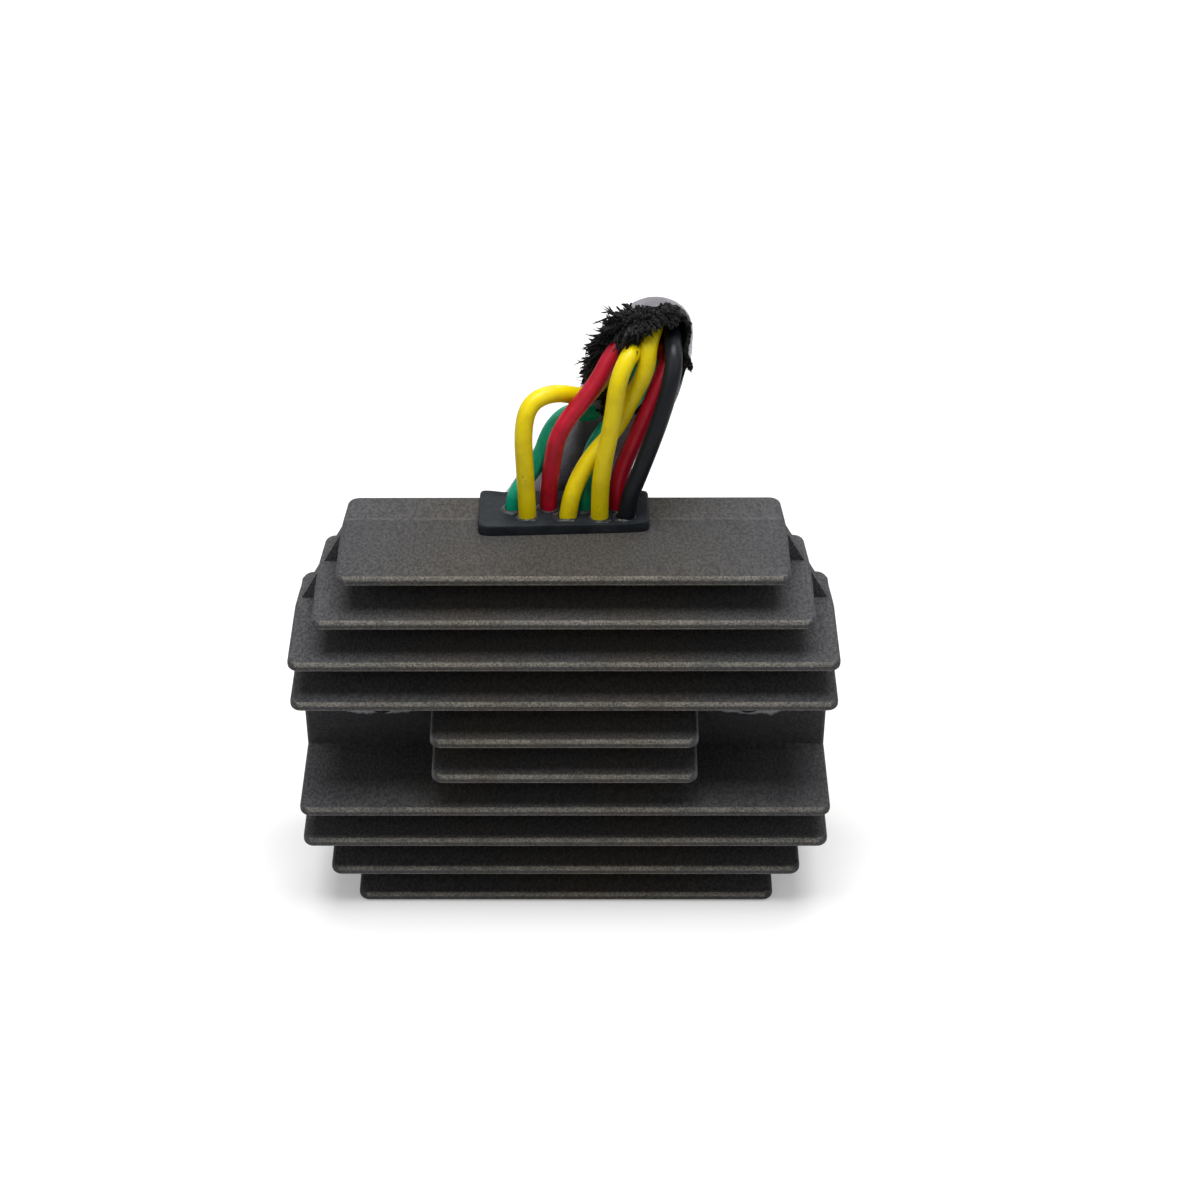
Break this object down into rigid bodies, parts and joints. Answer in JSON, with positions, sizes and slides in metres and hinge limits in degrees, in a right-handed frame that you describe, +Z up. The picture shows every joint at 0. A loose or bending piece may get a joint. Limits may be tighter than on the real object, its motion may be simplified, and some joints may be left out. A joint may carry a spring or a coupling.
{
  "type": "voltage regulator rectifier",
  "caption": "Finned die-cast regulator rectifier for a vehicle charging system, with a rubber grommet, coloured leads and a short sleeved harness.",
  "frame": {"origin": "middle of the casting's footprint, on the surface that the bottom fin stands on", "axes": "+X along the fins, +Y out of the potted mounting face, +Z up towards the leads"},
  "size_m": [0.1056, 0.0609, 0.1215],
  "materials": {
    "casting": "die-cast aluminium under worn matte dark paint",
    "grommet_rubber": "dull moulded rubber",
    "resin": "cast potting resin, satin",
    "loom_fabric": "woven sleeving, frayed at the mouth",
    "connector_plastic": "moulded natural nylon",
    "terminal_brass": "plain",
    "board": "glass-epoxy laminate",
    "epoxy": "moulded",
    "capacitor_can": "sleeved can",
    "resistor_body": "coated",
    "insulation_yellow": "extruded insulation, semi-gloss",
    "insulation_red": "extruded insulation, semi-gloss",
    "insulation_green": "extruded insulation, semi-gloss",
    "insulation_black": "extruded insulation, semi-gloss"
  },
  "bodies": {
    "root": {"housing": "casting", "grommet": "grommet_rubber", "potting_resin": "resin", "harness_sleeve": "loom_fabric", "connector_body": "connector_plastic", "connector_terminals": "terminal_brass", "circuit_board": "board", "control_chip": "epoxy", "capacitor": "capacitor_can", "reference_diode": "epoxy", "resistors": "resistor_body", "lead_tabs": "terminal_brass", "thyristor_1": "epoxy", "thyristor_2": "epoxy", "thyristor_3": "epoxy", "diode_1": "epoxy", "diode_2": "epoxy", "diode_3": "epoxy", "lead_yellow_left": "insulation_yellow", "lead_green_left": "insulation_green", "lead_green_right": "insulation_green", "lead_red_right": "insulation_red", "lead_yellow_right": "insulation_yellow", "lead_red_left": "insulation_red", "lead_yellow_middle": "insulation_yellow", "lead_black": "insulation_black"}
  },
  "joints": []
}
